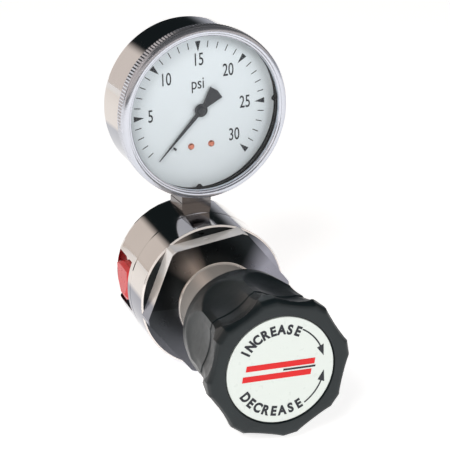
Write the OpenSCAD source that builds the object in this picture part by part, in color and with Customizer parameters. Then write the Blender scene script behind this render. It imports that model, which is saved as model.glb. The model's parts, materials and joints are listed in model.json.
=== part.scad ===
// Single-stage gas pressure regulator with a dial gauge, in millimetres.
// +Z is up, the adjusting knob points along -Y, and the origin is the centre
// of the body's flat rear face. The knob, bonnet, spring and valve share the Y axis.

/* [Body] */
// Radius of the round body
body_r = 29; // [28.6:0.1:30]
// Distance from the rear face to the seam with the bonnet
body_len = 27; // [26:0.5:28]
// Radius of the rounded rear edge of the body
body_edge = 8; // [5:0.5:9]
// Distance from the rear face to the ports' centre lines
port_y = 14; // [13.5:0.1:14.5]
// Bore radius of the three pipe ports
port_r = 5.6; // [5.5:0.05:5.7]

/* [Bonnet] */
// Distance from the rear face to the bonnet's front face
bonnet_front = 50; // [49:0.5:52]
// Width across the six wrench flats
flats_af = 50.9; // [49:0.1:52]
// Length of the wrench flats
flats_len = 7.6; // [6:0.1:9]
// Turn of the wrench flats from upright, in degrees
flats_turn = 9.3; // [0:0.1:30]
// Radius of the bonnet's neck
neck_r = 16.5; // [16:0.1:17]
// Distance from the rear face to the neck's front end
neck_front = 85; // [84:0.5:86]

/* [Knob] */
// Distance from the rear face to the knob's rear rim
knob_rear = 69; // [68:0.5:70]
// Radius of the knob's rear rim
knob_rear_r = 21.3; // [20.5:0.1:22]
// Radius over the knob's lobes
knob_r = 27; // [26:0.1:28]
// Radius at the bottom of the finger scoops
knob_valley = 24.6; // [24:0.1:25.5]
// Turn of the knob as it rests, in degrees
knob_turn = -10; // [-22:0.5:22]
// Radius of the round label in the knob's face
label_r = 20.1; // [19:0.1:20.5]
// Travel of the adjusting screw
screw_travel = 7.5; // [5:0.5:8]

/* [Gauge] */
// Height of the dial's centre above the knob's axis
gauge_z = 69.6; // [69:0.1:72]
// Yaw of the gauge about its stem, in degrees
gauge_yaw = 4.1; // [-10:0.1:10]
// Turn of the dial and movement in the case, in degrees
dial_turn = 2.3; // [0:0.1:5]
// Outer radius of the bezel
bezel_r = 34; // [33.8:0.1:34.4]
// Width across the flats of the square stem
stem_af = 12.2; // [11.5:0.1:14]
// Thickness of the clear lens
lens_t = 2; // [1.6:0.1:2]

/* [Hidden] */
$fn = 96;

stem_seat = 28.1;
case_r = bezel_r - 1.33;
case_front = -11.5;
case_rear = 10.4;
dial_y = -9.06;
dial_r = 31.2;
pivot_z = -13.2;
link_a = [0.86, -18.63];
link_b = [20.26, -10.59];
flat_x = 25;

// ---- helpers: round solids along each axis and turned profiles about Y ----
module ycyl(r, y0, y1, x = 0, z = 0)
    translate([x, y0, z]) rotate([-90, 0, 0]) cylinder(r = r, h = y1 - y0);
module xcyl(r, x0, x1, y = -port_y, z = 0)
    translate([x0, y, z]) rotate([0, 90, 0]) cylinder(r = r, h = x1 - x0);
module zcyl(r, z0, z1, x = 0, y = -port_y)
    translate([x, y, z0]) cylinder(r = r, h = z1 - z0);
// points are [radius, y]
module yrev(pts) rotate([-90, 0, 0]) rotate_extrude() polygon(pts);
// outline in Y and Z, drawn out along X about x = 0
module xprism(pts, w)
    translate([-w / 2, 0, 0]) rotate([90, 0, 90]) linear_extrude(w) polygon(pts);
// outline in X and Z, drawn out along Y from y0 to y1
module yprism(y0, y1)
    translate([0, y1, 0]) rotate([90, 0, 0]) linear_extrude(y1 - y0) children();
function arc(cx, cy, r, a0, a1, n = 10) =
    [for (i = [0:n]) let (a = a0 + (a1 - a0) * i / n) [cx + r * cos(a), cy + r * sin(a)]];
module gauge_place() translate([0, -port_y, gauge_z]) rotate([0, 0, gauge_yaw]) children();
module dial_place() gauge_place() rotate([0, -dial_turn, 0]) children();

// Round wire wound along Y with closed flat-lying end turns
function coil_pts(r, y0, y1, turns, wire, seg) =
    [for (i = [0:turns * seg])
        let (t = i / (turns * seg), e = 1 / turns,
             s = t < e ? t * t / (2 * e)
               : t > 1 - e ? 1 - e - (1 - t) * (1 - t) / (2 * e)
               : t - e / 2,
             span = y1 - y0 - wire, a = 360 * i / seg)
        [r * cos(a), y0 + wire / 2 + span * s / (1 - e), r * sin(a)]];
module coil(r, y0, y1, turns, wire, seg = 22, sides = 8) {
    p = coil_pts(r, y0, y1, turns, wire, seg);
    n = len(p);
    ring = [for (i = [0:n - 1]) for (j = [0:sides - 1])
        let (a = 360 * i / seg, b = 360 * j / sides, w = wire / 2)
        [p[i][0] + w * cos(b) * cos(a), p[i][1] + w * sin(b), p[i][2] + w * cos(b) * sin(a)]];
    polyhedron(ring, concat(
        [[for (j = [0:sides - 1]) j]],
        [for (i = [0:n - 2]) for (j = [0:sides - 1])
            let (k = (j + 1) % sides)
            [i * sides + j, (i + 1) * sides + j, (i + 1) * sides + k, i * sides + k]],
        [[for (j = [sides - 1:-1:0]) (n - 1) * sides + j]]), convexity = 6);
}

// ---- pressure body ----
module body() color([0.78, 0.77, 0.76]) difference() {
    union() {
        yrev(concat([[0, -30], [20, -30], [20, -34], [25.8, -34], [25.8, -body_len],
            [body_r - 0.4, -body_len], [body_r, -body_len + 0.4]],
            arc(body_r - body_edge, -body_edge, body_edge, 0, 90, 12), [[0, 0]]));
    }
    // spot face that the gauge stem is screwed down on
    zcyl(9.2, stem_seat, body_r + 3);
    // spot faces for the two side ports
    for (s = [-1, 1]) translate([s * (flat_x + 6), -port_y + 0.75, 0])
        cube([12, 20.5, 20.6], center = true);
    xcyl(port_r, 15, body_r + 3);
    xcyl(5, 13, 16);
    xcyl(3, 5, 14);
    xcyl(port_r, -body_r - 3, -14.5);
    ycyl(2, -31, -port_y, x = -17.5);
    zcyl(port_r, 17, body_r + 3);
    zcyl(1.6, 12, 18);
    ycyl(1.6, -31, -port_y, z = 14);
    // pocket for the valve capsule
    ycyl(8, -31, -10);
}

// ---- bonnet with wrench flats ----
module bonnet() color([0.8, 0.79, 0.78]) difference() {
    st = -bonnet_front + flats_len;
    union() {
        // round skirt; its front edge is bevelled where the flats cut into it
        yrev([[0, -body_len], [body_r - 0.5, -body_len], [body_r, -body_len - 0.5],
            [body_r, st + 0.75], [body_r - 0.75, st], [0, st]]);
        // hexagonal front with rounded corners
        intersection() {
            yrev([[0, st + 1.5], [body_r, st + 1.5], [body_r, -bonnet_front + 0.5],
                [body_r - 0.5, -bonnet_front], [0, -bonnet_front]]);
            rotate([0, -flats_turn, 0]) yprism(-bonnet_front - 1, st + 2)
                circle(r = flats_af / sqrt(3), $fn = 6);
        }
    }
    // recess for the diaphragm, bore for its plate, and bore for the spring housing
    ycyl(25.9, -35.8, -body_len + 1);
    ycyl(20.5, -47.2, -35);
    ycyl(neck_r, -bonnet_front - 1, -46);
    yrev([[0, -bonnet_front + 0.4], [neck_r, -bonnet_front + 0.4],
        [neck_r + 0.45, -bonnet_front - 0.05], [0, -bonnet_front - 0.05]]);
    // bonnet vent
    rotate([0, -flats_turn, 0]) zcyl(1.2, 18, 30, 0, -45.6);
}

// polished sleeve round the spring, pressed into the bonnet
module spring_housing() color([0.85, 0.84, 0.82])
    yrev([[11.5, -46.6], [neck_r, -46.6], [neck_r, -50.2], [neck_r - 0.25, -50.6],
        [neck_r - 0.25, -neck_front + 0.8], [neck_r - 0.5, -neck_front + 0.3],
        [neck_r - 0.8, -neck_front], [11.5, -neck_front]]);

module bonnet_bushing() color([0.78, 0.62, 0.32]) difference() {
    ycyl(11.5, -neck_front, -75);
    ycyl(6.05, -neck_front - 1, -74);
}

module diaphragm() color([0.12, 0.12, 0.12]) difference() {
    ycyl(25.2, -35, -34);
    ycyl(1.7, -36, -33);
}

module slip_ring() color([0.86, 0.86, 0.82]) difference() {
    ycyl(25.2, -35.8, -35);
    ycyl(20.5, -37, -34);
}

module diaphragm_plate() color([0.72, 0.73, 0.75])
    yrev([[0, -40], [7.2, -40], [7.6, -39.6], [7.6, -37.5], [15, -37.5], [15, -35],
        [1.5, -35], [1.5, -33], [0, -33]]);

// ---- valve ----
module valve_capsule() color([0.8, 0.64, 0.34]) difference() {
    union() {
        ycyl(7.95, -30.4, -18.5);
        yprism(-32.4, -30) circle(r = 9.4, $fn = 6);
    }
    ycyl(1.65, -33, -23);
    ycyl(5.2, -24, -18);
    for (a = [0:90:270]) rotate([0, a + 45, 0]) xcyl(0.7, 1, 12, -31.2, 0);
    // groove for the O-ring
    difference() { ycyl(9, -22.8, -21.2); ycyl(6.45, -23, -21); }
}

module capsule_oring() color([0.1, 0.1, 0.1])
    translate([0, -22, 0]) rotate([-90, 0, 0])
        rotate_extrude() translate([7.2, 0]) circle(r = 0.74, $fn = 32);

module valve_poppet() color([0.82, 0.66, 0.36]) difference() {
    yrev([[0, -32.9], [0.9, -32.9], [1.2, -32.6], [1.2, -24], [4.4, -24], [4.4, -20],
        [2.6, -20], [2.6, -18.2], [2.2, -17.8], [0, -17.8]]);
    difference() { ycyl(3.6, -25, -23); ycyl(1.2, -26, -22); }
}

module seat_disc() color([0.92, 0.92, 0.9]) difference() {
    ycyl(3.6, -24, -23);
    ycyl(1.2, -25, -22);
}

module valve_spring() color([0.7, 0.7, 0.72]) coil(3.3, -20, -10, 6, 0.8, 18, 8);

module inlet_filter() color([0.66, 0.5, 0.3]) xcyl(5, 13, 14.9);

// Red shipping plug in the left port: thumb tab, flange and shank
module port_plug() color([0.88, 0.1, 0.13]) {
    translate([0, -port_y, 0]) {
        hull() {
            for (p = [[6.4, 4.4], [5.6, -1.6], [1.6, -6.2], [-1.6, -7.4], [-5.2, -6], [-8.2, 0],
                      [-8, 6], [2, 5.9]])
                translate([-27.2, p[0], p[1]]) rotate([0, 90, 0]) cylinder(r = 0.9, h = 2.1, $fn = 12);
            for (p = [[6.1, 4.3], [5.0, -1.6], [1.4, -5.4], [-3.2, -5], [-6.4, 0], [-6.2, 4.6], [1.8, 4.9]])
                translate([-28.5, p[0], p[1]]) rotate([0, 90, 0]) cylinder(r = 0.6, h = 1, $fn = 12);
        }
        xcyl(port_r - 0.05, -25.2, -16, 0, 0);
    }
}

// ---- adjusting parts ----
module range_spring() color([0.62, 0.63, 0.66]) coil(8.95, -67, -37.5, 6.5, 2.3, 22, 8);

module spring_button() color([0.75, 0.75, 0.77])
    yrev([[0, -70], [8, -70], [10.8, -68.6], [10.8, -67], [7.4, -67], [7.4, -65.4],
        [6.8, -64.8], [0, -64.8]]);

module adjusting_screw() color([0.7, 0.71, 0.73])
    yrev([[0, -106], [5.4, -106], [6, -105.4], [6, -71.4], [4.6, -70], [0, -70]]);

module knob_insert() color([0.8, 0.64, 0.34]) difference() {
    yprism(-106, -97.5) circle(r = 11, $fn = 6);
    ycyl(6, -107, -96);
}

module knob_cavity() {
    yrev([[0, -96], [17.2, -96], [17.6, -95.6], [17.6, -knob_rear - 1.2], [18.4, -knob_rear - 0.4],
        [18.4, -knob_rear + 1], [0, -knob_rear + 1]]);
    yprism(-106, -95) circle(r = 11, $fn = 6);
    ycyl(label_r + 0.5, -117, -113.9);
}
module knob_scoop() {
    sr = 22;
    off = knob_valley + sr;
    translate([0, -118, off]) rotate([-90, 0, 0]) cylinder(r = sr, h = 60);
}
module adjusting_knob() color([0.16, 0.19, 0.21]) difference() {
    yrev(concat([[0, -115.2], [label_r + 1.6, -115.2]],
        arc(knob_r - 2.6, -112.6, 2.6, 270, 360, 8),
        [[knob_r, -110.5], [knob_r - 0.15, -107], [knob_r - 0.55, -102], [knob_r - 1.1, -97],
         [knob_r - 1.8, -92], [knob_r - 2.65, -87], [knob_r - 3.6, -82],
         [knob_r - 4.4, -78]],
        arc(knob_rear_r - 4.2, -knob_rear - 5, 5, 22, 75, 6),
        [[17.4, -knob_rear], [0, -knob_rear]]));
    knob_cavity();
    for (k = [0:7]) rotate([0, knob_turn + 22.5 + 45 * k, 0]) knob_scoop();
}

module knob_label() color([0.93, 0.95, 0.93]) ycyl(label_r, -114.9, -113.9);

// ---- gauge: shell ----
module gauge_socket() color([0.8, 0.79, 0.77]) gauge_place() difference() {
    union() {
        // square stem with a fine groove near its foot
        difference() {
            zs = stem_seat - gauge_z;
            translate([-stem_af / 2, -stem_af / 2, zs]) cube([stem_af, stem_af, -27.5 - zs]);
            translate([0, 0, zs + 2.9]) difference() {
                translate([-stem_af, -stem_af, 0]) cube([2 * stem_af, 2 * stem_af, 0.4]);
                translate([-stem_af / 2 + 0.22, -stem_af / 2 + 0.22, -1])
                    cube([stem_af - 0.44, stem_af - 0.44, 2]);
            }
        }
        // pipe thread
        rotate_extrude() polygon([[0, -51.5], [4.9, -51.5], [5.55, -50.8], [5.55, -39], [0, -39]]);
        // block inside the case that carries the tube
        intersection() {
            translate([-13, -6.4, -30.4]) cube([23, 6.4 + case_rear - 0.9, 8.9]);
            ycyl(case_r - 2.3, -7, 12);
        }
    }
    // gas passage up the stem and across to the tube
    translate([0, 0, -52]) cylinder(r = 1.5, h = 26);
    translate([-12, 0, -27]) rotate([0, 90, 0]) cylinder(r = 1.2, h = 13);
    // seat for the tube's root, and screw holes
    rotate([0, -dial_turn, 0]) {
        bourdon_solid();
        for (x = [-3.5, 3.5]) ycyl(0.8, -7, -4, x, -24.6);
    }
    for (s = [-1, 1]) ycyl(1.2, 4, 12, s * 4, -26.5);
}

module gauge_case() color([0.8, 0.8, 0.8]) gauge_place() difference() {
    yrev(concat([[0, case_rear], [case_r - 2.2, case_rear]],
        arc(case_r - 2.2, case_rear - 2.2, 2.2, 90, 0, 8),
        [[case_r, case_front], [case_r - 0.9, case_front], [case_r - 0.9, case_rear - 2.2]],
        arc(case_r - 2.2, case_rear - 2.2, 1.3, 0, 90, 6),
        [[0, case_rear - 0.9]]));
    // clearance for the stem and the two fixing screws
    translate([-stem_af / 2 - 0.1, -stem_af / 2 - 0.1, -40]) cube([stem_af + 0.2, stem_af + 0.2, 14]);
    for (s = [-1, 1]) ycyl(1.3, 5, 12, s * 4, -26.5);
}

module case_screws() color([0.75, 0.75, 0.77]) gauge_place() for (s = [-1, 1])
    translate([s * 4, 0, -26.5]) difference() {
        union() {
            ycyl(1.2, 4, case_rear);
            yrev([[0, case_rear], [2.3, case_rear], [2.1, case_rear + 0.7], [1.4, case_rear + 1.1], [0, case_rear + 1.1]]);
        }
        translate([-3, case_rear + 0.6, -0.25]) cube([6, 1, 0.5]);
    }

module gauge_bezel() color([0.88, 0.88, 0.88]) gauge_place()
    yrev(concat([[case_r + 0.03, -9], [bezel_r - 0.5, -9], [bezel_r, -9.7], [bezel_r, -13.9],
        [bezel_r - 0.25, -14.3]],
        arc(bezel_r - 2.1, -14.6, 1.8, 0, -90, 8),
        arc(bezel_r - 2.9, -15.6, 0.8, 270, 180, 5),
        [[30.3, -14.5], [case_r + 0.03, -14.5]]));

module gauge_lens() color([0.85, 0.92, 0.95, 0.3]) gauge_place()
    yrev([[0, -14.5], [case_r - 0.05, -14.5], [case_r - 0.05, -14.5 + lens_t],
        [0, -14.5 + lens_t]]);

module lens_gasket() color([0.08, 0.08, 0.08]) gauge_place() difference() {
    ycyl(case_r - 0.05, -14.5 + lens_t, case_front);
    ycyl(30.6, -14.5, -10);
}

module gauge_dial() color([0.93, 0.96, 0.97]) dial_place() difference() {
    ycyl(dial_r, dial_y, dial_y + 0.6);
    ycyl(2, dial_y - 1, dial_y + 2);
    for (s = [-1, 1]) ycyl(0.9, dial_y - 1, dial_y + 2, s * 4.2, -14.2);
}

module dial_screws() color([0.72, 0.35, 0.25]) dial_place() for (s = [-1, 1])
    translate([s * 4.2, 0, -14.2]) difference() {
        yrev([[0, dial_y - 0.7], [0.8, dial_y - 0.7], [1.25, dial_y - 0.35], [1.25, dial_y],
            [0.85, dial_y], [0.85, -6.45], [0, -6.45]]);
        translate([-2, dial_y - 1.5, -0.15]) cube([4, 1.1, 0.3]);
    }

module stop_pin() color([0.05, 0.05, 0.05]) dial_place()
    ycyl(0.45, dial_y - 1.5, dial_y, 17.9 * cos(231.5), 17.9 * sin(231.5));

// ---- gauge: pointer and movement ----
module gauge_pointer() color([0.05, 0.05, 0.06]) dial_place() rotate([0, -45, 0]) {
    yprism(-10.5, -10.15) difference() {
        union() {
            polygon([[-25.4, 0.12], [-25.4, -0.12], [-2, -0.85], [0, -1.2], [2, -1.0], [9.2, -3.4],
                [9.9, 0], [9.2, 3.4], [2, 1.0], [0, 1.2], [-2, 0.85]]);
            circle(r = 2.6);
        }
        circle(r = 0.8);
    }
    difference() {
        yrev([[0.8, -11.4], [1.3, -11.4], [1.6, -11.1], [1.6, -9.6], [0.8, -9.6]]);
        ycyl(0.8, -12, -9);
    }
}

// toothed outline: n teeth on a full circle, of which the first `keep` are drawn
module teeth(rp, m, n, keep, thick = 0.40) {
    ro = rp + 0.75 * m;
    ri = rp - 0.95 * m;
    p = 360 / n;
    polygon(concat([[0, 0]], [for (i = [0:keep - 1]) for (q = [[-0.5, ri], [-thick * 0.62, ri],
        [-thick * 0.28, ro], [thick * 0.28, ro], [thick * 0.62, ri], [0.5, ri]])
        let (a = p * (i + q[0])) [q[1] * cos(a), q[1] * sin(a)]]));
}

module pinion_shaft() color([0.8, 0.66, 0.4]) dial_place() {
    difference() {
        ycyl(0.8, -11.2, -1.6);
        ycyl(0.2, -12, -11);
    }
    // the pinion's teeth, with a gap facing the sector
    yprism(-5.6, -4.0) for (i = [0:11]) rotate(30 * i + 15) translate([0.6, 0])
        polygon([[0, -0.16], [0.75, -0.07], [0.75, 0.07], [0, 0.16]]);
    ycyl(1.35, -6.0, -5.6);
}

module sector_gear() color([0.82, 0.67, 0.4]) dial_place() translate([0, 0, pivot_z]) {
    difference() {
        union() {
            yprism(-5.5, -4.1) {
                // toothed rim on two arms; at rest the driven end of the rim is at the pinion
                difference() {
                    rotate(90 - 10 * 3) teeth(12, 0.2, 120, 14, 0.40);
                    difference() { circle(r = 10.2); circle(r = 2.4); }
                }
                for (a = [90 - 25, 90 + 4])
                    rotate(a) translate([1.5, -0.6]) square([9.4, 1.2]);
                circle(r = 2.4);
                // tail that the link pulls
                hull() { circle(r = 1.1); translate([link_a[0], link_a[1] - pivot_z]) circle(r = 1.1); }
            }
            ycyl(1.6, -6.2, -3.4);
        }
        ycyl(0.72, -8, -1);
        ycyl(0.5, -8, -1, link_a[0], link_a[1] - pivot_z);
    }
}

module movement_plates() color([0.82, 0.68, 0.42]) dial_place() difference() {
    union() {
        for (y = [-7.2, -2.6]) yprism(y, y + 0.8) hull() {
            translate([0, 4]) circle(r = 4.2);
            translate([-6, -17.6]) circle(r = 3);
            translate([5.5, -13]) circle(r = 3.4);
        }
        // foot of the front plate, screwed to the socket block
        translate([-6, -7.2, -26.6]) cube([12, 0.8, 10]);
    }
    for (x = [-3.5, 3.5]) ycyl(0.8, -9, -5, x, -24.6);
    ycyl(0.86, -9, 0);
    ycyl(0.7, -9, 0, 0, pivot_z);
    for (p = [[-6, -17.6], [0, 6]]) ycyl(0.8, -9, 0, p[0], p[1]);
    for (s = [-1, 1]) ycyl(0.85, -9, -5, s * 4.2, -14.2);
}

module movement_posts() color([0.8, 0.66, 0.4]) dial_place() {
    for (p = [[-6, -17.6], [0, 6]]) {
        ycyl(1.5, -6.4, -2.6, p[0], p[1]);
        ycyl(0.8, -7.6, -1.4, p[0], p[1]);
        ycyl(1.5, -7.9, -7.2, p[0], p[1]);
    }
    for (x = [-3.5, 3.5]) {
        ycyl(0.8, -7.2, -4.2, x, -24.6);
        ycyl(1.4, -7.9, -7.2, x, -24.6);
    }
    // sector arbor
    ycyl(0.68, -7.2, -1.8, 0, pivot_z);
}

module hairspring() color([0.75, 0.6, 0.35]) dial_place()
    translate([0, -3.6, 0]) rotate([-90, 0, 0]) linear_extrude(0.5)
        polygon(concat([for (i = [0:60]) let (a = 18 * i, r = 1.0 + i * 0.045) [r * cos(a), r * sin(a)]],
            [for (i = [60:-1:0]) let (a = 18 * i, r = 1.15 + i * 0.045) [r * cos(a), r * sin(a)]]));

// flattened tube bent round the case, from the socket at the lower left to the right
module bourdon_solid(grow = 0) rotate([90, 0, 0]) rotate([0, 0, -15])
    rotate_extrude(angle = 255) translate([24, 0]) {
        square([2 - 0.9 + grow, 6.4], center = true);
    }
module bourdon_tube() color([0.72, 0.5, 0.28]) dial_place() difference() {
    bourdon_solid();
    rotate([90, 0, 0]) rotate([0, 0, -12]) rotate_extrude(angle = 249)
        translate([24, 0]) square([0.5, 5.8], center = true);
}

module bourdon_tip() color([0.8, 0.65, 0.4]) dial_place() difference() {
    union() {
        rotate([0, 15, 0]) translate([22.2, -3.4, -3.0]) cube([3.6, 6.8, 3.0]);
        yprism(-3.4, -2.2) hull() {
            translate(link_b) circle(r = 1.2);
            rotate(-15) translate([23, -1.8]) circle(r = 1.2);
        }
        ycyl(0.4, -5.2, -3, link_b[0], link_b[1]);
    }
}

// thin link from the tip's pin to the sector's tail; its outer eye is a slot
module movement_link() color([0.78, 0.63, 0.38]) dial_place() {
    d = link_b - link_a;
    a = atan2(d[1], d[0]);
    L = norm(d);
    yprism(-4.0, -3.6) difference() {
        translate(link_a) rotate(a) hull() { circle(r = 1); translate([L, 0]) circle(r = 1.3); }
        translate(link_a) rotate(a) hull() { translate([L + 0.1, 0]) circle(r = 0.6); translate([L - 2.7, 0]) circle(r = 0.6); }
    }
    ycyl(0.3, -5.9, -3.6, link_a[0], link_a[1]);
}

body();
bonnet();
spring_housing();
bonnet_bushing();
diaphragm();
slip_ring();
diaphragm_plate();
valve_capsule();
capsule_oring();
valve_poppet();
seat_disc();
valve_spring();
inlet_filter();
port_plug();
range_spring();
spring_button();
adjusting_screw();
knob_insert();
adjusting_knob();
knob_label();
gauge_socket();
gauge_case();
case_screws();
gauge_bezel();
gauge_lens();
lens_gasket();
gauge_dial();
dial_screws();
stop_pin();
gauge_pointer();
pinion_shaft();
sector_gear();
movement_plates();
movement_posts();
hairspring();
bourdon_tube();
bourdon_tip();
movement_link();
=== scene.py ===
import json
import math
import bpy
import bmesh
import numpy as np
from mathutils import Vector, Matrix


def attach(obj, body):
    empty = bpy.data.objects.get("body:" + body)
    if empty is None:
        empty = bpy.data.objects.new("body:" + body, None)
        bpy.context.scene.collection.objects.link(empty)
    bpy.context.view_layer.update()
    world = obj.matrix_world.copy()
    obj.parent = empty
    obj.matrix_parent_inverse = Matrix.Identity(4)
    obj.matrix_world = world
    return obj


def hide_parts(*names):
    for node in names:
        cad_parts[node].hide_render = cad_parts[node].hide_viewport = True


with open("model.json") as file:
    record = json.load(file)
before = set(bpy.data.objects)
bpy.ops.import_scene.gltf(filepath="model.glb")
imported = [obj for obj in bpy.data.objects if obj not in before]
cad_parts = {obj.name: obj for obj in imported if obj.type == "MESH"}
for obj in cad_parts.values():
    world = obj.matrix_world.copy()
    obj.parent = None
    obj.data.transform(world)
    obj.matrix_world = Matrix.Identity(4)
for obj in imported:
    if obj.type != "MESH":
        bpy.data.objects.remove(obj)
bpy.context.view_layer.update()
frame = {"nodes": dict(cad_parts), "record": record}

N = frame["nodes"]
MM = 0.001
PI = math.pi

# ------------------------------------------------------------------ frames
STEM_Y, GAUGE_Z, YAW, TURN = -14.0, 69.6, math.radians(4.1), math.radians(2.3)
GAUGE = Matrix.Translation((0, STEM_Y * MM, GAUGE_Z * MM)) @ Matrix.Rotation(YAW, 4, "Z")
DIAL = GAUGE @ Matrix.Rotation(-TURN, 4, "Y")


# ------------------------------------------------------------------ materials
def new_mat(name):
    m = bpy.data.materials.new(name)
    m.use_nodes = True
    nt = m.node_tree
    nt.nodes.clear()
    out = nt.nodes.new("ShaderNodeOutputMaterial")
    b = nt.nodes.new("ShaderNodeBsdfPrincipled")
    nt.links.new(b.outputs[0], out.inputs[0])
    return m, nt, b


def node(nt, kind, **kw):
    n = nt.nodes.new(kind)
    for k, v in kw.items():
        if k in n.inputs:
            n.inputs[k].default_value = v
        else:
            setattr(n, k, v)
    return n


def obj_coord(nt):
    return nt.nodes.new("ShaderNodeTexCoord").outputs["Object"]


def noise(nt, scale, detail=3.0, rough=0.55, stretch=None, vec=None):
    v = vec if vec is not None else obj_coord(nt)
    if stretch is not None:
        mp = node(nt, "ShaderNodeMapping")
        mp.inputs["Scale"].default_value = stretch
        nt.links.new(v, mp.inputs["Vector"])
        v = mp.outputs["Vector"]
    n = node(nt, "ShaderNodeTexNoise", Scale=scale, Detail=detail, Roughness=rough)
    nt.links.new(v, n.inputs["Vector"])
    return n.outputs["Fac"]


def ramp(nt, fac, stops):
    r = nt.nodes.new("ShaderNodeValToRGB")
    e = r.color_ramp.elements
    while len(e) < len(stops):
        e.new(0.5)
    for i, (p, c) in enumerate(stops):
        e[i].position = p
        e[i].color = (*c, 1) if len(c) == 3 else c
    nt.links.new(fac, r.inputs["Fac"])
    return r.outputs["Color"]


def maprange(nt, fac, lo, hi, a=0.0, b=1.0):
    m = node(nt, "ShaderNodeMapRange")
    m.inputs["From Min"].default_value = a
    m.inputs["From Max"].default_value = b
    m.inputs["To Min"].default_value = lo
    m.inputs["To Max"].default_value = hi
    nt.links.new(fac, m.inputs["Value"])
    return m.outputs["Result"]


def math_n(nt, op, a, b=None, c=None):
    m = nt.nodes.new("ShaderNodeMath")
    m.operation = op
    for i, v in enumerate((a, b, c)):
        if v is None:
            continue
        if isinstance(v, (int, float)):
            m.inputs[i].default_value = v
        else:
            nt.links.new(v, m.inputs[i])
    return m.outputs[0]


def bump(nt, b, height, dist, strength=1.0):
    n = node(nt, "ShaderNodeBump", Strength=strength, Distance=dist)
    nt.links.new(height, n.inputs["Height"])
    nt.links.new(n.outputs["Normal"], b.inputs["Normal"])
    return n


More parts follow.
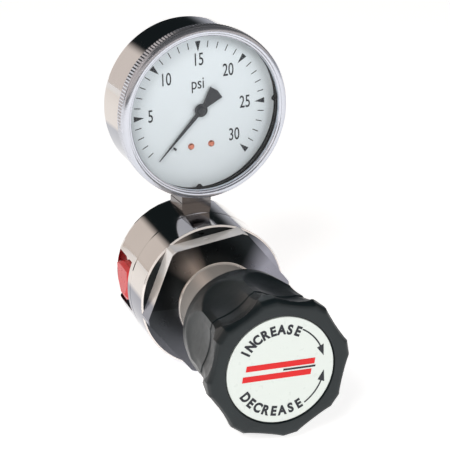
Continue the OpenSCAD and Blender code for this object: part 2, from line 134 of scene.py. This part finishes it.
def chrome(name, base=(0.80, 0.785, 0.77), rough=0.07, turned=0.0, aniso=0.0, axis="Y", wear=0.02, center=(0, 0, 0), rings=2600.0, dist=4e-6, painted_under_shade=None, painted_shade_z=(0.0025, 0.014), face_y=None):
    """Plated metal. Fine lathe rings round an axis break up the reflection, and roughness varies a little."""
    m, nt, b = new_mat(name)
    b.inputs["Metallic"].default_value = 1.0
    n1 = noise(nt, 60.0, 4.0)
    col = ramp(nt, n1, [(0.3, tuple(c * 0.97 for c in base)), (0.7, base)])
    sep = nt.nodes.new("ShaderNodeSeparateXYZ")
    nt.links.new(obj_coord(nt), sep.inputs[0])
    if painted_under_shade is not None:
        # painted shade and painted reflection: the base colour is darkened and cooled towards the bottom, with a
        # painted warm reflection band just above it
        lo, hi = painted_shade_z
        t = maprange(nt, sep.outputs[2], 0.0, 1.0, lo - 0.006, hi)
        k = 0.006 / (hi - lo + 0.006)
        painted_shade_tint = ramp(nt, t, [(0.0, painted_under_shade), (k * 0.8, painted_under_shade), (min(0.95, k * 1.15), (0.66, 0.61, 0.575)), (0.85, (0.70, 0.65, 0.61)), (1.0, base)])
        mx = nt.nodes.new("ShaderNodeMix")
        mx.data_type = "RGBA"
        mx.blend_type = "MULTIPLY"
        mx.inputs[0].default_value = 1.0
        nt.links.new(painted_shade_tint, mx.inputs[6])
        nt.links.new(ramp(nt, n1, [(0.3, (0.97, 0.97, 0.97)), (0.7, (1.0, 1.0, 1.0))]), mx.inputs[7])
        col = mx.outputs[2]
    n2 = noise(nt, 240.0, 3.0)
    r = maprange(nt, n2, rough * 0.75, rough * 1.35 + wear, 0.25, 0.75)
    if face_y is not None:
        face = math_n(nt, "LESS_THAN", sep.outputs[1], face_y)
        step_w = math_n(nt, "COMPARE", sep.outputs[1], -0.0424, 0.00006)
        painted_face_mask = math_n(nt, "MAXIMUM", face, step_w)
        # painted reflection: the turned faces and the step get a painted dark tone, with painted highlight fans set
        # by angle in the base colour
        ang = math_n(nt, "MULTIPLY", math_n(nt, "ARCTAN2", sep.outputs[2], sep.outputs[0]), 1 / (2 * PI))
        painted_highlight_fans = ramp(nt, maprange(nt, ang, 0.0, 1.0, -0.5, 0.5), [(0.0, (0.05, 0.055, 0.06)), (0.50, (0.24, 0.24, 0.28)), (0.60, (0.28, 0.28, 0.325)), (0.67, (0.022, 0.026, 0.028)),
                         (0.80, (0.022, 0.026, 0.028)), (0.845, (0.46, 0.41, 0.385)), (0.90, (0.022, 0.026, 0.028)), (1.0, (0.03, 0.033, 0.036))])
        mf = nt.nodes.new("ShaderNodeMix")
        mf.data_type = "RGBA"
        nt.links.new(painted_face_mask, mf.inputs[0])
        nt.links.new(col, mf.inputs[6])
        nt.links.new(painted_highlight_fans, mf.inputs[7])
        col = mf.outputs[2]
        r = math_n(nt, "ADD", r, math_n(nt, "MULTIPLY", face, 0.22))
        # the milled flats are finely ground, so they scatter some light
        flat = math_n(nt, "COMPARE", sep.outputs[1], -0.04616, 0.00368)
        r = math_n(nt, "ADD", r, math_n(nt, "MULTIPLY", flat, 0.12))
        # painted highlight: the bevel round each flat gets a lighter cream base colour, and is less metallic
        rr = math_n(nt, "SQRT", math_n(nt, "ADD", math_n(nt, "MULTIPLY", sep.outputs[0], sep.outputs[0]), math_n(nt, "MULTIPLY", sep.outputs[2], sep.outputs[2])))
        painted_highlight_rim = math_n(nt, "MULTIPLY", math_n(nt, "COMPARE", sep.outputs[1], -0.04200, 0.00033), math_n(nt, "LESS_THAN", rr, 0.02894))
        mr = nt.nodes.new("ShaderNodeMix")
        mr.data_type = "RGBA"
        nt.links.new(painted_highlight_rim, mr.inputs[0])
        nt.links.new(col, mr.inputs[6])
        mr.inputs[7].default_value = (0.86, 0.81, 0.78, 1)
        col = mr.outputs[2]
        soft = math_n(nt, "ADD", math_n(nt, "MULTIPLY", flat, 0.66), math_n(nt, "MULTIPLY", painted_highlight_rim, 0.75))
        nt.links.new(math_n(nt, "SUBTRACT", 1.0, soft), b.inputs["Metallic"])
        nt.links.new(math_n(nt, "MULTIPLY", face, 0.75), b.inputs["Anisotropic"])
        tg = nt.nodes.new("ShaderNodeTangent")
        tg.direction_type = "RADIAL"
        tg.axis = "Y"
        nt.links.new(tg.outputs[0], b.inputs["Tangent"])
    nt.links.new(col, b.inputs["Base Color"])
    nt.links.new(r, b.inputs["Roughness"])
    x = math_n(nt, "SUBTRACT", sep.outputs[0], center[0])
    z = math_n(nt, "SUBTRACT", sep.outputs[2], center[2])
    rad = math_n(nt, "SQRT", math_n(nt, "ADD", math_n(nt, "MULTIPLY", x, x), math_n(nt, "MULTIPLY", z, z)))
    if turned:
        # rings in radius and along the axis, as a lathe tool leaves them
        comb = nt.nodes.new("ShaderNodeCombineXYZ")
        nt.links.new(rad, comb.inputs[0])
        nt.links.new(sep.outputs[1], comb.inputs[1])
        h = noise(nt, rings, 2.0, 0.5, None, comb.outputs[0])
        bump(nt, b, h, dist * turned)
    if aniso:
        b.inputs["Anisotropic"].default_value = aniso
        t = nt.nodes.new("ShaderNodeTangent")
        t.direction_type = "RADIAL"
        t.axis = axis
        nt.links.new(t.outputs[0], b.inputs["Tangent"])
    return m


def plastic(name, base, rough=0.4, var=0.06, grain=1800.0, gdist=6e-6, spec=0.5, coat=0.0):
    m, nt, b = new_mat(name)
    n1 = noise(nt, 90.0, 4.0)
    lo = tuple(max(0, c * (1 - var)) for c in base)
    hi = tuple(min(1, c * (1 + var)) for c in base)
    nt.links.new(ramp(nt, n1, [(0.3, lo), (0.7, hi)]), b.inputs["Base Color"])
    n2 = noise(nt, 420.0, 3.0)
    nt.links.new(maprange(nt, n2, rough * 0.88, rough * 1.14, 0.3, 0.7), b.inputs["Roughness"])
    b.inputs["Specular IOR Level"].default_value = spec
    if coat:
        b.inputs["Coat Weight"].default_value = coat
        b.inputs["Coat Roughness"].default_value = 0.12
    bump(nt, b, noise(nt, grain, 2.0), gdist)
    return m


def metal(name, base, rough=0.25, grain=900.0, gd=5e-6, stretch=(1, 6, 1)):
    m, nt, b = new_mat(name)
    b.inputs["Metallic"].default_value = 1.0
    n1 = noise(nt, 130.0, 4.0)
    nt.links.new(ramp(nt, n1, [(0.3, tuple(c * 0.9 for c in base)), (0.7, base)]), b.inputs["Base Color"])
    nt.links.new(maprange(nt, noise(nt, 500.0), rough * 0.8, rough * 1.25, 0.3, 0.7), b.inputs["Roughness"])
    bump(nt, b, noise(nt, grain, 2.0, 0.5, stretch), gd)
    return m


M = {}
# the under colours are painted shade on the underside of body, bonnet and case, with a painted warm reflection band
# above it
M["body_chrome"] = chrome("body_chrome", rough=0.06, turned=0.5, wear=0.02, painted_under_shade=(0.24, 0.245, 0.29))
M["bonnet_chrome"] = chrome("bonnet_chrome", rough=0.055, turned=0.6, wear=0.02, painted_under_shade=(0.24, 0.245, 0.29), face_y=-0.04985)
M["neck_chrome"] = chrome("neck_chrome", (0.95, 0.89, 0.84), rough=0.16, turned=0.3, wear=0.01)
M["neck_chrome"].node_tree.nodes["Principled BSDF"].inputs["Metallic"].default_value = 0.62
M["gauge_chrome"] = chrome("gauge_chrome", (0.84, 0.84, 0.85), rough=0.07, turned=0.4, center=(0, 0, GAUGE_Z * MM), painted_under_shade=(0.34, 0.355, 0.40), painted_shade_z=(0.064, 0.080))
M["stem_chrome"] = chrome("stem_chrome", (0.20, 0.19, 0.19), rough=0.14, turned=0.0)
M["bezel_nickel"] = chrome("bezel_nickel", (0.60, 0.62, 0.68), rough=0.20, turned=0.3, center=(0, 0, GAUGE_Z * MM))
M["bezel_nickel"].node_tree.nodes["Principled BSDF"].inputs["Metallic"].default_value = 0.85
M["brass"] = metal("brass", (0.78, 0.60, 0.30), 0.24)
M["steel"] = metal("steel", (0.66, 0.67, 0.69), 0.25)
M["spring_steel"] = metal("spring_steel", (0.50, 0.51, 0.53), 0.32)
M["sintered_bronze"] = metal("sintered_bronze", (0.55, 0.40, 0.24), 0.55, 2600.0, 3e-5, (1, 1, 1))
M["screw_copper"] = metal("screw_copper", (0.82, 0.30, 0.20), 0.30)
M["tube_bronze"] = metal("tube_bronze", (0.62, 0.42, 0.24), 0.28)
M["rubber"] = plastic("rubber", (0.022, 0.022, 0.023), 0.7, 0.2, 2400.0, 1e-5, 0.3)
M["ptfe"] = plastic("ptfe", (0.85, 0.85, 0.82), 0.5, 0.02)
M["plug_red"] = plastic("plug_red", (0.66, 0.004, 0.010), 0.30, 0.10, 700.0, 1.2e-5, 0.5)
M["knob_black"] = plastic("knob_black", (0.009, 0.014, 0.016), 0.34, 0.10, 2600.0, 7e-6, 0.38)
M["label_white"] = plastic("label_white", (0.62, 0.67, 0.64), 0.30, 0.006, 500.0, 3e-6, 0.5)
M["label_ink"] = plastic("label_ink", (0.012, 0.014, 0.02), 0.35, 0.1, 800.0, 2e-6, 0.4)
M["label_red"] = plastic("label_red", (0.60, 0.006, 0.008), 0.35, 0.05, 800.0, 2e-6, 0.4)
M["dial_white"] = plastic("dial_white", (0.70, 0.77, 0.81), 0.45, 0.015, 600.0, 3e-6, 0.4)
M["dial_ink"] = plastic("dial_ink", (0.02, 0.022, 0.028), 0.5, 0.1, 800.0, 2e-6, 0.3)
M["pointer_black"] = plastic("pointer_black", (0.022, 0.024, 0.030), 0.40, 0.1, 1500.0, 4e-6, 0.4)


def glass_mat():
    m, nt, b = new_mat("lens_clear")
    n1 = noise(nt, 40.0)
    nt.links.new(ramp(nt, n1, [(0.3, (0.26, 0.28, 0.29)), (0.7, (0.28, 0.30, 0.31))]), b.inputs["Base Color"])
    nt.links.new(maprange(nt, noise(nt, 200.0), 0.0, 0.02, 0.3, 0.7), b.inputs["Roughness"])
    b.inputs["IOR"].default_value = 1.49
    b.inputs["Alpha"].default_value = 0.05
    return m


M["lens_clear"] = glass_mat()


def put(o, mat):
    o.data.materials.clear()
    o.data.materials.append(mat)


slot_of = {s["node"]: s["material_slot"] for s in frame["record"]["subparts"]}
for n, o in N.items():
    put(o, M[slot_of[n]])


# ------------------------------------------------------------------ mesh help
def obj_from(name, verts, faces, mat, body, smooth_deg=35.0, xf=None):
    me = bpy.data.meshes.new(name)
    me.from_pydata([tuple(v) for v in verts], [], faces)
    me.update()
    if xf is not None:
        me.transform(xf)
    o = bpy.data.objects.new(name, me)
    bpy.context.scene.collection.objects.link(o)
    me.materials.append(mat)
    tidy(o, smooth_deg)
    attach(o, body)
    return o


def tidy(o, deg=35.0):
    me = o.data
    bm = bmesh.new()
    bm.from_mesh(me)
    bmesh.ops.remove_doubles(bm, verts=bm.verts, dist=1e-7)
    bmesh.ops.recalc_face_normals(bm, faces=bm.faces)
    lim = math.radians(deg)
    for f in bm.faces:
        f.smooth = True
    for e in bm.edges:
        if len(e.link_faces) == 2 and e.calc_face_angle(0.0) > lim:
            e.smooth = False
    bm.to_mesh(me)
    bm.free()
    me.update()


def grid_faces(rows, cols, wrap=True, off=0):
    f = []
    for i in range(rows - 1):
        for j in range(cols if wrap else cols - 1):
            k = (j + 1) % cols
            f.append((off + i * cols + j, off + i * cols + k, off + (i + 1) * cols + k, off + (i + 1) * cols + j))
    return f


def revolve(name, prof, mat, body, seg=192, deg=30.0, xf=None, closed=True, rfun=None):
    """prof: [(r, y)] in mm, revolved about Y. closed joins the last ring to the first."""
    verts, n = [], len(prof)
    for i, (r, y) in enumerate(prof):
        for j in range(seg):
            a = 2 * PI * j / seg
            rr, yy = (r, y) if rfun is None else rfun(i, r, y, a)
            verts.append((rr * math.cos(a) * MM, yy * MM, rr * math.sin(a) * MM))
    faces = grid_faces(n, seg)
    if closed:
        for j in range(seg):
            k = (j + 1) % seg
            faces.append(((n - 1) * seg + j, (n - 1) * seg + k, k, j))
    else:
        faces.append(tuple(range(seg)))
        faces.append(tuple(range((n - 1) * seg, n * seg))[::-1])
    return obj_from(name, verts, faces, mat, body, deg, xf)


def prism(name, loops, y0, y1, mat, body, xf=None, deg=30.0):
    """Closed outlines in X and Z (mm), drawn from y0 to y1."""
    verts, faces = [], []
    for loop in loops:
        o, n = len(verts), len(loop)
        verts += [(p[0] * MM, y0 * MM, p[1] * MM) for p in loop]
        verts += [(p[0] * MM, y1 * MM, p[1] * MM) for p in loop]
        faces.append(tuple(o + i for i in range(n)))
        faces.append(tuple(o + n + i for i in reversed(range(n))))
        faces += [(o + i, o + n + i, o + n + (i + 1) % n, o + (i + 1) % n) for i in range(n)]
    return obj_from(name, verts, faces, mat, body, deg, xf)


def text_mesh(name, s, size, xf, mat, body, depth=0.03, sx=1.0, bold=0.0):
    """Outline text as a thin raised print. xf places its XZ plane, reading from -Y."""
    cu = bpy.data.curves.new(name, "FONT")
    cu.body = s
    cu.size = size * MM
    cu.align_x = "CENTER"
    cu.align_y = "CENTER"
    cu.extrude = depth * MM / 2
    cu.offset = bold * MM
    cu.resolution_u = 6
    tmp = bpy.data.objects.new(name + "_c", cu)
    bpy.context.scene.collection.objects.link(tmp)
    bpy.context.view_layer.update()
    me = bpy.data.meshes.new_from_object(tmp)
    bpy.data.objects.remove(tmp)
    bpy.data.curves.remove(cu)
    me.name = name
    # font plane XY -> XZ, thickness along Y
    me.transform(Matrix.Scale(sx, 4, (1, 0, 0)))
    me.transform(Matrix.Rotation(PI / 2, 4, "X"))
    me.transform(xf)
    me.materials.clear()
    me.materials.append(mat)
    o = bpy.data.objects.new(name, me)
    bpy.context.scene.collection.objects.link(o)
    tidy(o, 30)
    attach(o, body)
    return o


def join(name, objs, body):
    """One piece from several."""
    bm = bmesh.new()
    mats = []
    for o in objs:
        for m_ in o.data.materials:
            if m_ not in mats:
                mats.append(m_)
        idx = [mats.index(m_) for m_ in o.data.materials]
        start = len(bm.faces)
        bm.from_mesh(o.data)
        bm.faces.ensure_lookup_table()
        for f in bm.faces[start:]:
            f.material_index = idx[f.material_index] if idx else 0
    me = bpy.data.meshes.new(name)
    bm.to_mesh(me)
    bm.free()
    for m_ in mats:
        me.materials.append(m_)
    for o in objs:
        bpy.data.objects.remove(o)
    r = bpy.data.objects.new(name, me)
    bpy.context.scene.collection.objects.link(r)
    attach(r, body)
    return r


# ------------------------------------------------------------------ knob
LOBE0 = math.radians(10.0)
STEP = PI / 4


def smooth01(t):
    t = max(0.0, min(1.0, t))
    return t * t * (3 - 2 * t)


def knob_delta(a):
    """Angle from the nearest lobe centre, in degrees, 0 to 22.5."""
    d = (a - LOBE0) % STEP
    return math.degrees(min(d, STEP - d))


FLANK = [(-114.1, 26.35), (-113.6, 26.72), (-112.8, 26.95), (-111, 27.0), (-108, 26.9), (-104, 26.55), (-100, 26.05),
         (-96, 25.45), (-92, 24.85), (-88, 24.3), (-84, 23.75), (-80, 23.25), (-76, 22.75), (-73, 22.2)]
_fy = [p[0] for p in FLANK]
_fr = [p[1] for p in FLANK]


def flank(y):
    return float(np.interp(y, _fy, _fr))


def knob_r(y, a):
    d = knob_delta(a)
    r = flank(y)
    # outline: flat lobe tips with crisp corners, shallow bays between them
    amp = smooth01((-84 - y) / 24.0)
    flat = 5.8
    if d < flat:
        o = math.cos(math.radians(flat)) / math.cos(math.radians(d)) - 1
        o *= r
    else:
        t = (d - flat) / (22.5 - flat)
        o = -1.55 * (1 - (1 - t) ** 2.0) ** 0.85
    r += o * amp
    # finger scoop: a dish that ends in a crisp rim just behind the front edge
    v = 22.5 - d
    yc, hf, hr = -99.0, 14.2, 22.0
    u = (y - yc) / (hf if y < yc else hr)
    w = v / 26.5
    q = 1 - u * u - w * w
    if q > 0:
        r -= 3.0 * (q ** 0.85 if y >= yc else min(q * 2.4, q ** 0.85 * 1.0 + 0.12 * min(1, q * 12)))
    return r


def make_knob():
    seg = 8 * 40
    ys = []
    y = -114.1
    while y < -108:
        ys.append(y)
        y += 0.3
    while y < -84:
        ys.append(y)
        y += 0.6
    while y < -73.01:
        ys.append(y)
        y += 1.0
    rings = []
    # front ring: label recess, face, then the rounded edge
    def ring(fn):
        return [fn(2 * PI * j / seg) for j in range(seg)]
    LR = 20.62
    rings.append(ring(lambda a: (LR, -113.95)))
    rings.append(ring(lambda a: (LR, -115.05)))
    rings.append(ring(lambda a: (LR + 0.12, -115.17)))
    rings.append(ring(lambda a: (LR + 0.4, -115.2)))
    for t, yy in ((0.35, -115.2), (0.62, -115.15), (0.80, -115.0), (0.91, -114.75), (0.97, -114.45)):
        rings.append(ring(lambda a, t=t, yy=yy: (LR + 0.4 + (knob_r(-114.1, a) - LR - 0.4) * t, yy)))
    for yy in ys:
        rings.append(ring(lambda a, yy=yy: (knob_r(yy, a), yy)))
    # round rear rim and the mouth that slides over the neck
    for k in range(0, 9):
        t = math.radians(90 * k / 8)
        rings.append(ring(lambda a, t=t: (18.2 + (22.2 - 18.2) * math.cos(t) ** 0.9 if math.cos(t) > 0 else 18.2, -73 + 4.0 * math.sin(t))))
    rings.append(ring(lambda a: (17.8, -69.25)))
    rings.append(ring(lambda a: (17.6, -69.8)))
    rings.append(ring(lambda a: (17.55, -95.5)))
    verts = []
    for rg in rings:
        for j, (r, yy) in enumerate(rg):
            a = 2 * PI * j / seg
            verts.append((r * math.cos(a) * MM, yy * MM, r * math.sin(a) * MM))
    faces = grid_faces(len(rings), seg)
    faces.append(tuple(range(seg)))
    n = len(rings)
    faces.append(tuple(range((n - 1) * seg, n * seg))[::-1])
    o = obj_from("knob_shell", verts, faces, M["knob_black"], "knob", 24.0)
    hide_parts("adjusting_knob")
    return o


make_knob()


# ------------------------------------------------------------------ knob label
def arc_text(prefix, word, radius, a_start, a_end, size, outward, mat, body, y, sx=0.95, bold=0.05):
    objs = []
    n = len(word)
    for i, ch in enumerate(word):
        a = math.radians(a_start + (a_end - a_start) * i / (n - 1))
        ang = a - PI / 2 if outward else a + PI / 2
        xf = Matrix.Translation((radius * math.cos(a) * MM, y * MM, radius * math.sin(a) * MM)) @ Matrix.Rotation(-ang, 4, "Y")
        objs.append(text_mesh(f"{prefix}_{i}", ch, size, xf, mat, body, 0.05, sx, bold))
    return objs


def arc_arrow(prefix, radius, a0, a1, y, mat, body, w=0.32, head=3.4, hw=1.15):
    """Curved arrow from angle a0 to a1 with its head at a1 (degrees)."""
    sgn = 1 if a1 > a0 else -1
    ah = math.degrees(head / radius) * sgn
    steps = 24
    pts_o, pts_i = [], []
    for i in range(steps + 1):
        a = math.radians(a0 + (a1 - ah - a0) * i / steps)
        pts_o.append(((radius + w / 2) * math.cos(a), (radius + w / 2) * math.sin(a)))
        pts_i.append(((radius - w / 2) * math.cos(a), (radius - w / 2) * math.sin(a)))
    b = math.radians(a1 - ah)
    t = math.radians(a1)
    loop = pts_o + [((radius + hw) * math.cos(b), (radius + hw) * math.sin(b)), (radius * math.cos(t), radius * math.sin(t)),
                    ((radius - hw) * math.cos(b), (radius - hw) * math.sin(b))] + pts_i[::-1]
    return prism(prefix, [loop], y, y + 0.05, mat, body)


LAB_Y = -114.9
lab = revolve("label_disc", [(0.001, -113.9), (19.95, -113.9), (20.08, -114.0), (20.1, -114.6), (20.02, -114.84), (19.8, -114.9), (19.5, -114.88), (19.2, -114.88), (10, -114.88), (0.001, -114.88)],
              M["label_white"], "knob", 160, 25.0)
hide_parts("knob_label")
YL = LAB_Y - 0.02
ink = arc_text("inc", "INCREASE", 15.2, 149, 66, 4.9, True, M["label_ink"], "knob", YL, 0.88, 0.24)
ink += arc_text("dec", "DECREASE", 15.8, -146, -63, 4.9, False, M["label_ink"], "knob", YL, 0.88, 0.24)
ink.append(arc_arrow("arrow_inc", 16.6, 61, 12, YL - 0.02, M["label_ink"], "knob", 0.55, 4.2, 1.4))
ink.append(arc_arrow("arrow_dec", 16.6, -56, -7, YL - 0.02, M["label_ink"], "knob", 0.55, 4.2, 1.4))
# plain slanted bars across the middle
for k_, (x0, x1, z0, z1, mt) in enumerate(((-13.2, 12.6, 0.9, 3.1, "label_red"), (-13.9, 11.9, -3.1, -0.9, "label_red"), (1.0, 13.2, -0.36, 0.36, "label_ink"))):
    sh = 0.16
    ink.append(prism(f"bar_{k_}", [[(x0 + sh * z0, z0), (x1 + sh * z0, z0), (x1 + sh * z1, z1), (x0 + sh * z1, z1)]], YL - 0.02, YL + 0.03, M[mt], "knob"))
ink = join("label_print", ink, "knob")


# ------------------------------------------------------------------ gauge dial
def dial_at(r, deg, y):
    a = math.radians(deg)
    return DIAL @ Matrix.Translation((r * math.cos(a) * MM, y * MM, r * math.sin(a) * MM))


DY = -9.06 - 0.03
marks = []
for k in range(1, 31):
    ang = math.radians(225 - 9 * k)
    c, s = math.cos(ang), math.sin(ang)
    if k % 5 == 0:
        b = [(22.9, 0.0), (27.1, 1.12), (27.1, -1.12)]
    else:
        b = [(24.5, -0.18), (24.5, 0.18), (27.1, 0.18), (27.1, -0.18)]
    marks.append([(r * c - t * s, r * s + t * c) for r, t in b])
dm = prism("dial_ticks", marks, DY, DY + 0.06, M["dial_ink"], "root", DIAL)
nums = []
for k, s, r, da in ((5, "5", 20.3, 0), (10, "10", 19.2, 0), (15, "15", 19.7, 0), (20, "20", 18.6, 4.0), (25, "25", 18.9, 1.0), (30, "30", 18.5, 4.0)):
    a = 225 - 9 * k + da
    nums.append(text_mesh(f"num_{s}", s, 7.0, dial_at(r, a, DY), M["dial_ink"], "root", 0.05, 0.67, 0.05))
nums.append(text_mesh("num_unit", "psi", 6.4, dial_at(10.4, 93, DY), M["dial_ink"], "root", 0.05, 0.80, 0.03))
printed = join("dial_print", [dm] + nums, "root")

# ------------------------------------------------------------------ bezel
def bezel():
    rear, wide = -9.0, -14.2
    seg = 4 * 170
    prof = [(32.72, rear), (33.4, rear), (33.75, rear - 0.25), (33.95, rear - 0.6), (34.0, rear - 1.0),
            (34.0, rear - 2.2), (34.0, rear - 3.4), (34.0, rear - 4.4), (33.9, rear - 4.75),
            (33.62, rear - 4.95), (33.6, rear - 5.1), (33.75, rear - 5.3), (33.8, rear - 5.7), (33.7, rear - 6.2),
            (33.4, rear - 6.7), (32.95, rear - 7.1), (32.4, rear - 7.35), (31.9, rear - 7.4), (31.55, rear - 7.33),
            (31.35, rear - 7.15), (31.3, rear - 6.95), (31.1, rear - 6.9), (30.75, rear - 6.85), (30.45, rear - 6.6), (30.3, rear - 6.2), (30.3, rear - 5.5),
            (32.6, rear - 5.5), (32.72, rear - 5.4)]

    def rf(i, r, y, a):
        if 3 <= i <= 7:
            k = (a / (2 * PI) * 170) % 1.0
            tri = 1 - abs(2 * k - 1)
            return r - 0.26 * (1 - tri), y
        return r, y
    o = revolve("bezel_ring", prof, M["bezel_nickel"], "root", seg, 28.0, GAUGE, True, rf)
    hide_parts("gauge_bezel")
    return o


bezel()

cap = revolve("pointer_cap", [(0.001, -11.55), (0.35, -11.53), (0.65, -11.46), (0.85, -11.33), (0.9, -11.21), (0.001, -11.21)], M["pointer_black"], "pointer", 32, 30.0, DIAL, False)
tabs = []
for a_ in (4.0, -92.0):
    c_, s_ = math.cos(math.radians(a_)), math.sin(math.radians(a_))
    tabs.append([(r_ * c_ - t_ * s_, r_ * s_ + t_ * c_) for r_, t_ in ((31.1, -2.3), (30.1, -1.1), (29.3, -0.5), (29.2, 0.4), (30.0, 1.2), (31.1, 2.3))])
tb = prism("gasket_tabs", tabs, -11.7, -11.2, M["rubber"], "root", GAUGE)

# ------------------------------------------------------------------ camera
AZ, EL, ROLL = math.radians(19.5438), math.radians(19.8728), math.radians(0.5865)
DIST, FPX, TX, TZ = 723.77, 1809.24, 14.54, 17.91
fw = Vector((math.sin(AZ) * math.cos(EL), math.cos(AZ) * math.cos(EL), -math.sin(EL)))
r0 = Vector((math.cos(AZ), -math.sin(AZ), 0))
u0 = r0.cross(fw)
r1 = math.cos(ROLL) * r0 + math.sin(ROLL) * u0
u1 = -math.sin(ROLL) * r0 + math.cos(ROLL) * u0
pos = (Vector((TX, 0, TZ)) - fw * DIST + Vector((0, STEM_Y, 0))) * MM
cam = bpy.data.cameras.new("camera")
cam.sensor_width = 36.0
cam.lens = 36.0 * FPX / 450.0
cam.clip_start = 0.01
cam.clip_end = 20
co = bpy.data.objects.new("camera", cam)
rot = Matrix((r1, u1, -fw)).transposed().to_4x4()
co.matrix_world = Matrix.Translation(pos) @ rot
bpy.context.scene.collection.objects.link(co)
bpy.context.scene.camera = co

# ------------------------------------------------------------------ stage and light
sc = bpy.context.scene
sc.view_settings.view_transform = "Standard"
sc.view_settings.look = "None"
sc.view_settings.exposure = 0.0
sc.view_settings.gamma = 1.0


def stage_mat(name, col, emit=0.0):
    m, nt, b = new_mat(name)
    n = noise(nt, 3.0)
    nt.links.new(ramp(nt, n, [(0.3, tuple(c * 0.99 for c in col)), (0.7, col)]), b.inputs["Base Color"])
    b.inputs["Roughness"].default_value = 0.9
    b.inputs["Specular IOR Level"].default_value = 0.1
    if emit:
        b.inputs["Emission Color"].default_value = (1, 1, 1, 1)
        b.inputs["Emission Strength"].default_value = emit
    return m


FLOOR_Z = -0.0292
fl = bpy.data.meshes.new("floor")
fl.from_pydata([(-3, -3, FLOOR_Z), (3, -3, FLOOR_Z), (3, 3, FLOOR_Z), (-3, 3, FLOOR_Z)], [], [(0, 1, 2, 3)])
flo = bpy.data.objects.new("floor", fl)
bpy.context.scene.collection.objects.link(flo)
fl.materials.append(stage_mat("floor_pale", (0.9, 0.9, 0.9), 0.72))

w = bpy.data.worlds.new("world")
sc.world = w
w.use_nodes = True
wn = w.node_tree
wn.nodes.clear()
wo = wn.nodes.new("ShaderNodeOutputWorld")
bg = wn.nodes.new("ShaderNodeBackground")
wn.links.new(bg.outputs[0], wo.inputs[0])
tc = wn.nodes.new("ShaderNodeTexCoord")
sp = wn.nodes.new("ShaderNodeSeparateXYZ")
wn.links.new(tc.outputs["Generated"], sp.inputs[0])


def step(v, lo, hi):
    m = node(wn, "ShaderNodeMapRange", interpolation_type="SMOOTHSTEP")
    m.inputs["From Min"].default_value = lo
    m.inputs["From Max"].default_value = hi
    wn.links.new(v, m.inputs["Value"])
    return m.outputs["Result"]


def both(*v):
    r = v[0]
    for k in v[1:]:
        r = math_n(wn, "MULTIPLY", r, k)
    return r


def inv(v):
    return math_n(wn, "SUBTRACT", 1.0, v)


def over(base, fac, col):
    m = wn.nodes.new("ShaderNodeMix")
    m.data_type = "RGBA"
    wn.links.new(fac, m.inputs[0])
    if isinstance(base, tuple):
        m.inputs[6].default_value = (*base, 1)
    else:
        wn.links.new(base, m.inputs[6])
    m.inputs[7].default_value = (*col, 1)
    return m.outputs[2]


DX, DY_, DZ = sp.outputs[0], sp.outputs[1], sp.outputs[2]
ring = math_n(wn, "MULTIPLY", math_n(wn, "ARCTAN2", DZ, math_n(wn, "MULTIPLY", DX, -1.0)), 57.29578)
back = step(DY_, -0.05, 0.25)
col = over((0.008, 0.011, 0.012), inv(step(DZ, -0.30, -0.12)), (0.93, 0.93, 0.94))
# warm wall on the left, from low to just above eye level
col = over(col, both(back, inv(step(DX, -0.16, -0.04)), inv(step(ring, 44.0, 58.0))), (0.68, 0.60, 0.55))
# cool grey wall on the right
col = over(col, both(step(DX, 0.06, 0.22), inv(step(DZ, 0.02, 0.24))), (0.36, 0.37, 0.41))
# cream bounce from in front and above
col = over(col, both(inv(back), step(DZ, 0.10, 0.20), inv(step(DZ, 0.55, 0.70))), (0.62, 0.55, 0.50))
wn.links.new(col, bg.inputs["Color"])
bg.inputs["Strength"].default_value = 1.0


def area(name, loc, target, size, power, color=(1, 1, 1), size_y=None, glossy=True):
    l = bpy.data.lights.new(name, "AREA")
    l.energy = power
    l.color = color
    l.size = size
    if size_y:
        l.shape = "RECTANGLE"
        l.size_y = size_y
    o = bpy.data.objects.new(name, l)
    o.location = loc
    d = Vector(target) - Vector(loc)
    o.rotation_euler = d.to_track_quat("-Z", "Y").to_euler()
    bpy.context.scene.collection.objects.link(o)
    o.visible_glossy = glossy
    return o


T = (0, -0.04, 0.03)
area("key_left", (-0.75, -1.0, 0.95), T, 0.5, 10.5, (1.0, 0.98, 0.96), 0.5, False)
area("front_fill", (0.55, -1.3, 0.5), T, 0.6, 6.5, (0.96, 0.98, 1.0), 0.5, False)

# ------------------------------------------------------------------ scene update
bpy.context.view_layer.update()
